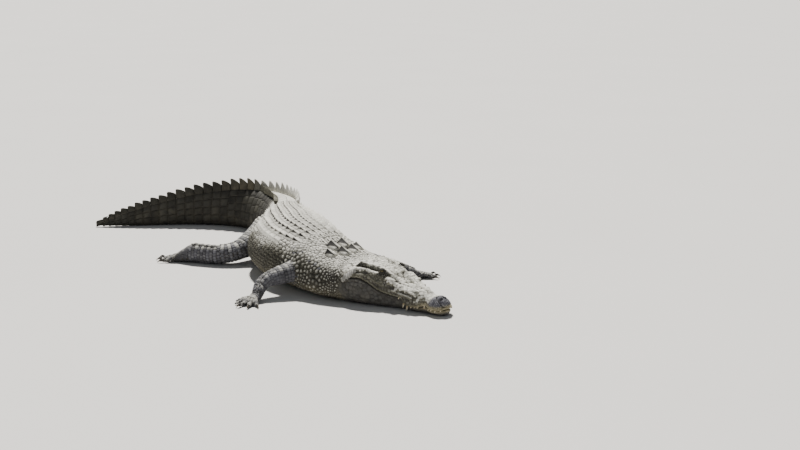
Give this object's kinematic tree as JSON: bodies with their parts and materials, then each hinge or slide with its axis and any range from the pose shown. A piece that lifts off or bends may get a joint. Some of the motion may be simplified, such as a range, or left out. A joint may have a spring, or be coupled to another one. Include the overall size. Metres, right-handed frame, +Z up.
{
  "type": "saltwater crocodile",
  "caption": "Life-size still model of a big saltwater crocodile at rest on its belly, mouth closed, with a keeled back, a saw-edged tail crest and the tail swung round to its right.",
  "frame": {"origin": "centre of the whole object's footprint box, on the floor it lies on", "axes": "+Z up, +X to the animal's left, +Y towards the tail; the trunk faces -Y with its right side on -X"},
  "size_m": [1.4657, 3.5408, 0.4084],
  "materials": {
    "head_hide": "dry, dusty head skin with fine cracks",
    "jaw_hide": "smooth olive-grey jaw skin, paler along the lip",
    "body_hide": "dusty pale grey keeled scutes over olive-grey flank scales",
    "tail_hide": "grey-brown tail scales with near-black blocks",
    "leg_hide": "blue-grey leg scales in light and dark rings",
    "eye": "wet and glossy, with an upright slit pupil",
    "claw": "dark horn, half gloss",
    "tooth": "ivory, stained at the root"
  },
  "bodies": {
    "root": {"eye_left": "eye", "eye_right": "eye", "fore_left_claw_1": "claw", "fore_left_claw_2": "claw", "fore_left_claw_3": "claw", "fore_left_lower": "leg_hide", "fore_left_palm": "leg_hide", "fore_left_upper": "leg_hide", "fore_right_claw_1": "claw", "fore_right_claw_2": "claw", "fore_right_claw_3": "claw", "fore_right_lower": "leg_hide", "fore_right_palm": "leg_hide", "fore_right_upper": "leg_hide", "head_upper": "head_hide", "hind_left_claw_1": "claw", "hind_left_claw_2": "claw", "hind_left_claw_3": "claw", "hind_left_lower": "leg_hide", "hind_left_palm": "leg_hide", "hind_left_upper": "leg_hide", "hind_right_claw_1": "claw", "hind_right_claw_2": "claw", "hind_right_claw_3": "claw", "hind_right_lower": "leg_hide", "hind_right_palm": "leg_hide", "hind_right_upper": "leg_hide", "lower_jaw": "jaw_hide", "neck": "body_hide", "tail_1": "tail_hide", "tail_2": "tail_hide", "tail_3": "tail_hide", "tail_4": "tail_hide", "tail_5": "tail_hide", "trunk": "body_hide"}
  },
  "joints": []
}
